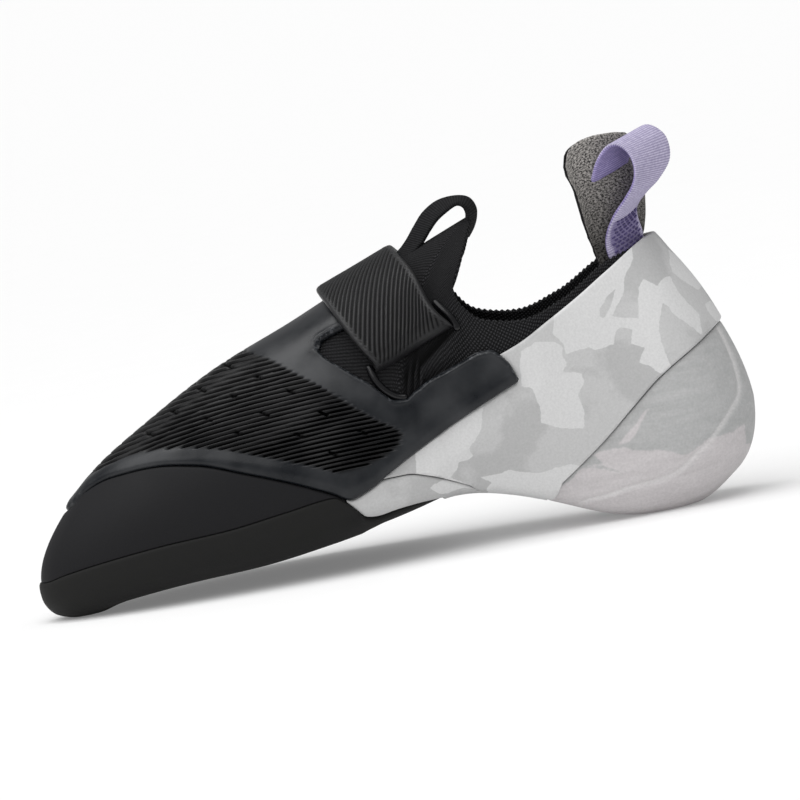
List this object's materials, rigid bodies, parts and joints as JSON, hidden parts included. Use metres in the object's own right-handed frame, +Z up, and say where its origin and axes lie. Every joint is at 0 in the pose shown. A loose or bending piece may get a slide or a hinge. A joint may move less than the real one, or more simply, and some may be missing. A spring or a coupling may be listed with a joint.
{
  "type": "climbing shoe",
  "caption": "Down-turned rock climbing shoe for a right foot: black knit bootie, moulded rubber toe patch and sole, grey heel cup, one strap over the instep and pull loops at heel and tongue.",
  "frame": {"origin": "On the floor, under the middle of the shoe's bounding box.", "axes": "+X runs from toe to heel, +Y from the wearer's inner side to the outer side of a right shoe, +Z is up from the floor."},
  "size_m": [0.2402, 0.0876, 0.1248],
  "materials": {
    "black_knit": "matte ribbed knit",
    "insole_board": "matte",
    "sole_rubber": "matte",
    "grey_rubber": "satin",
    "rand_rubber": "matte",
    "patch_rubber": "satin moulded",
    "printed_rubber": "matte, printed in greys",
    "light_rubber": "matte",
    "strap_rubber": "satin ribbed",
    "grey_fabric": "melange",
    "lilac_webbing": "ribbed webbing",
    "black_tape": "woven"
  },
  "bodies": {
    "root": {"upper": "black_knit", "insole": "insole_board", "outsole": "sole_rubber", "heel_cup": "grey_rubber", "toe_rand": "rand_rubber", "toe_patch": "patch_rubber", "heel_rand": "printed_rubber", "arch_band": "light_rubber", "strap": "strap_rubber", "heel_tab": "grey_fabric", "heel_loop": "lilac_webbing", "tongue_loop": "black_tape"}
  },
  "joints": []
}
